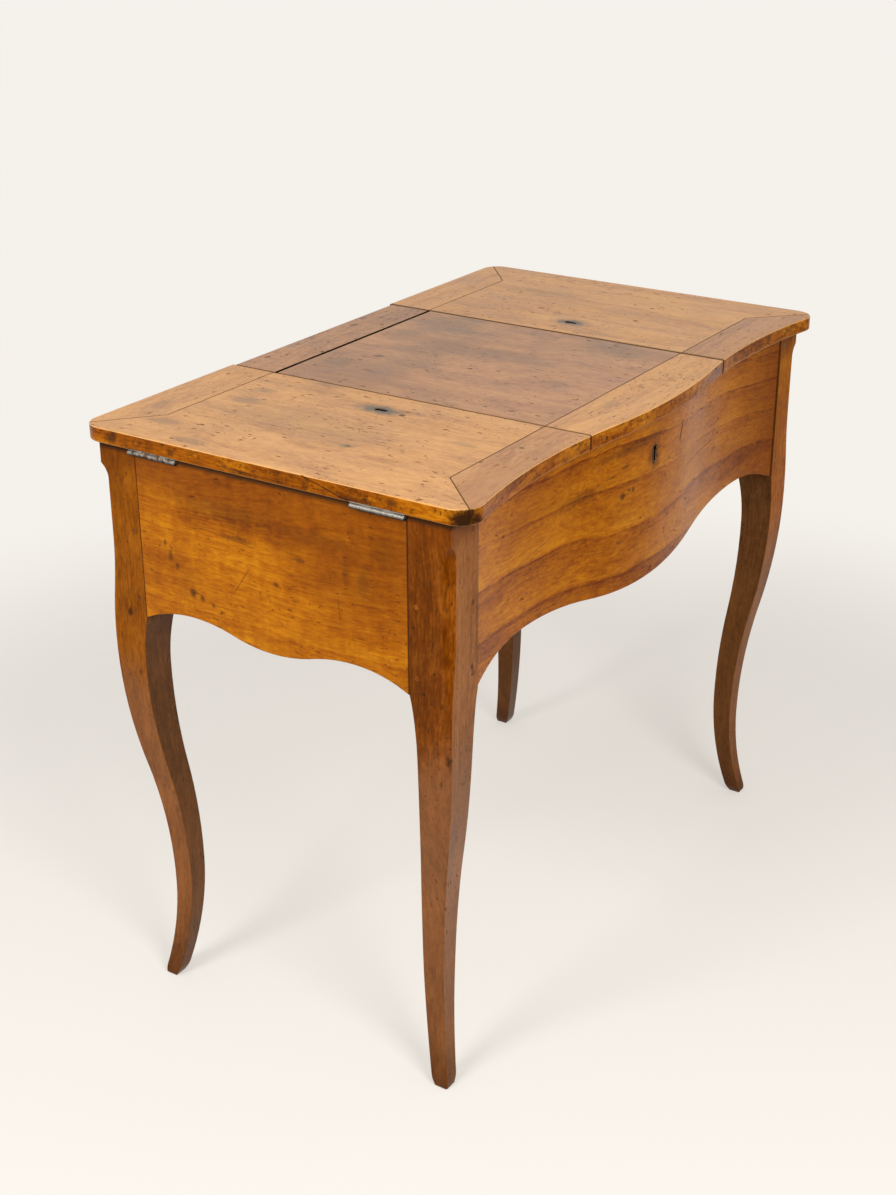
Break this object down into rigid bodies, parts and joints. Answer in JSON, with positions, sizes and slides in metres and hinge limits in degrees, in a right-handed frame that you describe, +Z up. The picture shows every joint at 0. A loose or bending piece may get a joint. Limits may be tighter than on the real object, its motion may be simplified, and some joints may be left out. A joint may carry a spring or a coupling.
{
  "type": "dressing table",
  "caption": "Dressing table with a serpentine front, cabriole legs, two side flaps and a mirrored middle lid over open compartments.",
  "frame": {"origin": "on the floor, under the middle of the top", "axes": "+Z up, +X to the right facing the front, +Y towards the back"},
  "size_m": [0.8586, 0.504, 0.72],
  "materials": {
    "lid_wood": "waxed walnut, light golden brown, semi-gloss",
    "band_wood": "waxed cherry, pinkish brown, semi-gloss",
    "panel_wood": "waxed cherry, amber orange, semi-gloss",
    "leg_wood": "waxed walnut, worn, satin",
    "inner_wood": "raw poplar, matt",
    "peg_wood": "end grain, dark, waxed",
    "iron": "blackened iron, satin",
    "steel": "worn steel with dull patches",
    "brass": "aged brass",
    "mirror": "silvered glass"
  },
  "bodies": {
    "case": {"front_left_leg": "leg_wood", "front_right_leg": "leg_wood", "rear_left_leg": "leg_wood", "rear_right_leg": "leg_wood", "front_panel": "panel_wood", "left_side_panel": "panel_wood", "right_side_panel": "panel_wood", "back_panel": "inner_wood", "bottom_board": "inner_wood", "left_batten": "inner_wood", "right_batten": "inner_wood", "back_batten": "inner_wood", "left_partition": "inner_wood", "right_partition": "inner_wood", "rear_rail": "band_wood", "joint_pegs": "peg_wood", "partition_strikes": "iron", "front_lock_case": "iron", "front_lock_screws": "steel", "keyhole_lining": "brass", "side_hinge_fixed_leaves": "steel", "side_hinge_pins": "steel", "side_hinge_screws": "steel", "rail_hinge_leaves": "iron", "rail_hinge_pins": "steel", "rail_hinge_screws": "steel"},
    "left_flap": {"left_flap_board": "lid_wood", "left_flap_front_band": "band_wood", "left_flap_rear_band": "band_wood", "left_flap_lock_case": "iron", "left_flap_lock_screws": "steel", "left_flap_hinge_leaves": "steel", "left_flap_hinge_screws": "steel"},
    "right_flap": {"right_flap_board": "lid_wood", "right_flap_front_band": "band_wood", "right_flap_rear_band": "band_wood", "right_flap_lock_case": "iron", "right_flap_lock_screws": "steel", "right_flap_hinge_leaves": "steel", "right_flap_hinge_screws": "steel"},
    "middle_lid": {"middle_lid_panel": "lid_wood", "middle_lid_front_rail": "band_wood", "middle_lid_hinge_leaves": "iron", "middle_lid_hinge_screws": "steel", "lid_strike": "iron", "mirror_glass": "mirror", "mirror_beads": "band_wood"},
    "left_flap_bolt": {"left_flap_lock_bolt": "steel"},
    "right_flap_bolt": {"right_flap_lock_bolt": "steel"},
    "front_bolt": {"front_lock_bolt": "steel"}
  },
  "joints": [
    {"name": "left_flap_hinge", "type": "hinge", "parent": "case", "child": "left_flap", "pos_m": [-0.4263, 0, 0.6987], "axis": [0, -1, 0], "range_deg": [0, 180]},
    {"name": "right_flap_hinge", "type": "hinge", "parent": "case", "child": "right_flap", "pos_m": [0.4263, 0, 0.6987], "axis": [0, 1, 0], "range_deg": [0, 180]},
    {"name": "middle_lid_hinge", "type": "hinge", "parent": "case", "child": "middle_lid", "pos_m": [0, 0.1871, 0.7179], "axis": [-1, 0, 0], "range_deg": [0, 95]},
    {"name": "left_flap_bolt_slide", "type": "slide", "parent": "left_flap", "child": "left_flap_bolt", "axis": [1, 0, 0], "range_m": [0, 0.009]},
    {"name": "right_flap_bolt_slide", "type": "slide", "parent": "right_flap", "child": "right_flap_bolt", "axis": [-1, 0, 0], "range_m": [0, 0.009]},
    {"name": "front_bolt_slide", "type": "slide", "parent": "case", "child": "front_bolt", "axis": [0, 0, 1], "range_m": [0, 0.009]}
  ]
}
